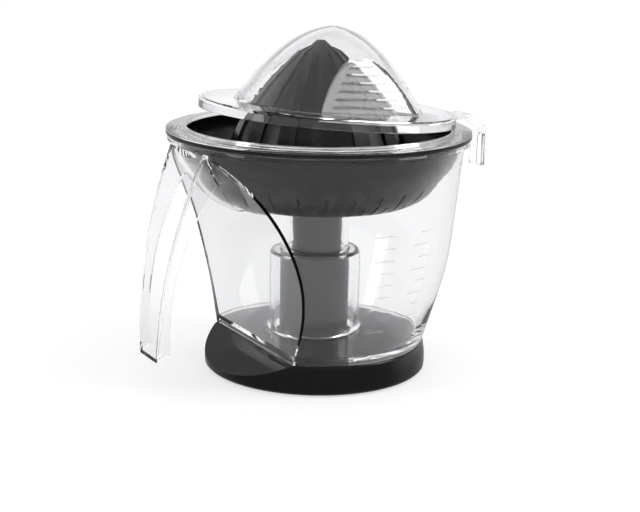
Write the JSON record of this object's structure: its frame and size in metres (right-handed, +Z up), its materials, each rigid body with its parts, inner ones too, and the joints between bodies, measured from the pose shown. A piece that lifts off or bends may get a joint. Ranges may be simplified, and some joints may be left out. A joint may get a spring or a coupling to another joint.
{
  "type": "citrus press juicer",
  "caption": "Small electric citrus press: black base with a drive tower, clear jug with an open handle, slotted strainer, fluted cone, splash ring with a spout, and a domed dust lid.",
  "frame": {"origin": "on the drive axis, in the plane of the feet", "axes": "+Z up along the drive axis, +X towards the spout, -X towards the handle, the lid's grip recesses at +Y and -Y"},
  "size_m": [0.2046, 0.16, 0.1812],
  "materials": {
    "black_gloss": "glossy moulded black plastic",
    "black_satin": "satin moulded black plastic",
    "charcoal_satin": "satin moulded charcoal plastic",
    "black_strainer": "polished black plastic inside, satin outside",
    "black_cone": "satin gloss black plastic",
    "rubber": "soft matt black rubber",
    "steel": "bright turned steel",
    "spring_steel": "drawn spring wire",
    "motor_steel": "zinc-plated pressed steel",
    "magnet": "sintered ferrite, dark grey",
    "copper_coil": "enamelled copper winding",
    "gear_plastic": "natural acetal",
    "dark_plastic": "dark glass-filled nylon",
    "ivory_plastic": "ivory polyamide",
    "red_plastic": "red acetal",
    "clear_jug": "crystal clear polished plastic",
    "clear_ring": "crystal clear polished plastic",
    "clear_lid": "crystal clear polished plastic"
  },
  "bodies": {
    "base": {"base_housing": "black_gloss", "drive_tower": "charcoal_satin", "base_plate": "black_satin", "rubber_feet": "rubber", "base_screws": "steel", "cable_bushing": "rubber", "terminal_block": "ivory_plastic", "microswitch": "dark_plastic", "return_spring": "spring_steel", "tower_bush": "gear_plastic", "shaft_seal": "rubber"},
    "plunger": {"switch_plunger": "red_plastic"},
    "drive": {"motor_can": "motor_steel", "stator_coil": "copper_coil", "motor_end_plate": "motor_steel", "gear_housing": "gear_plastic", "gearbox_cover": "dark_plastic", "gearbox_screws": "steel"},
    "rotor": {"rotor_magnet": "magnet", "rotor_shaft": "steel"},
    "carrier": {"planet_carrier": "dark_plastic", "output_spindle": "steel"},
    "planet_1": {"planet_gear_1": "gear_plastic"},
    "planet_2": {"planet_gear_2": "gear_plastic"},
    "planet_3": {"planet_gear_3": "gear_plastic"},
    "jug": {"jug": "clear_jug"},
    "strainer": {"strainer": "black_strainer"},
    "cone": {"reaming_cone": "black_cone"},
    "splash_ring": {"splash_ring": "clear_ring"},
    "lid": {"dome_lid": "clear_lid"}
  },
  "joints": [
    {"name": "drive_press", "type": "slide", "parent": "base", "child": "drive", "axis": [0, 0, -1], "range_m": [0, 0.0015], "stiffness_N_per_m": 1600, "springref_m": -0.003, "deforming": ["return_spring"]},
    {"name": "plunger_press", "type": "slide", "parent": "base", "child": "plunger", "axis": [0, 0, -1], "range_m": [0, 0.0015]},
    {"name": "rotor_spin", "type": "hinge", "parent": "drive", "child": "rotor", "pos_m": [0, 0, 0.03], "axis": [0, 0, 1], "continuous": true},
    {"name": "carrier_spin", "type": "hinge", "parent": "drive", "child": "carrier", "pos_m": [0, 0, 0.05], "axis": [0, 0, 1], "continuous": true},
    {"name": "planet_1_spin", "type": "hinge", "parent": "carrier", "child": "planet_1", "pos_m": [0.0081, 0, 0.0455], "axis": [0, 0, 1], "continuous": true},
    {"name": "planet_2_spin", "type": "hinge", "parent": "carrier", "child": "planet_2", "pos_m": [-0.00405, 0.00701, 0.0455], "axis": [0, 0, 1], "continuous": true},
    {"name": "planet_3_spin", "type": "hinge", "parent": "carrier", "child": "planet_3", "pos_m": [-0.00405, -0.00701, 0.0455], "axis": [0, 0, 1], "continuous": true},
    {"name": "jug_lift", "type": "slide", "parent": "base", "child": "jug", "axis": [0, 0, 1], "range_m": [0, 0.12]},
    {"name": "strainer_lift", "type": "slide", "parent": "jug", "child": "strainer", "axis": [0, 0, 1], "range_m": [0, 0.08]},
    {"name": "cone_spin", "type": "hinge", "parent": "strainer", "child": "cone", "pos_m": [0, 0, 0.12], "axis": [0, 0, 1], "continuous": true},
    {"name": "ring_lift", "type": "slide", "parent": "strainer", "child": "splash_ring", "axis": [0, 0, 1], "range_m": [0, 0.07]},
    {"name": "lid_lift", "type": "slide", "parent": "splash_ring", "child": "lid", "axis": [0, 0, 1], "range_m": [0, 0.07]}
  ],
  "couplings": [
    {"joint": "plunger_press", "follows": "drive_press", "ratio": 1},
    {"joint": "carrier_spin", "follows": "rotor_spin", "ratio": 0.22222},
    {"joint": "cone_spin", "follows": "rotor_spin", "ratio": 0.22222},
    {"joint": "planet_1_spin", "follows": "rotor_spin", "ratio": -0.62222},
    {"joint": "planet_2_spin", "follows": "rotor_spin", "ratio": -0.62222},
    {"joint": "planet_3_spin", "follows": "rotor_spin", "ratio": -0.62222}
  ]
}
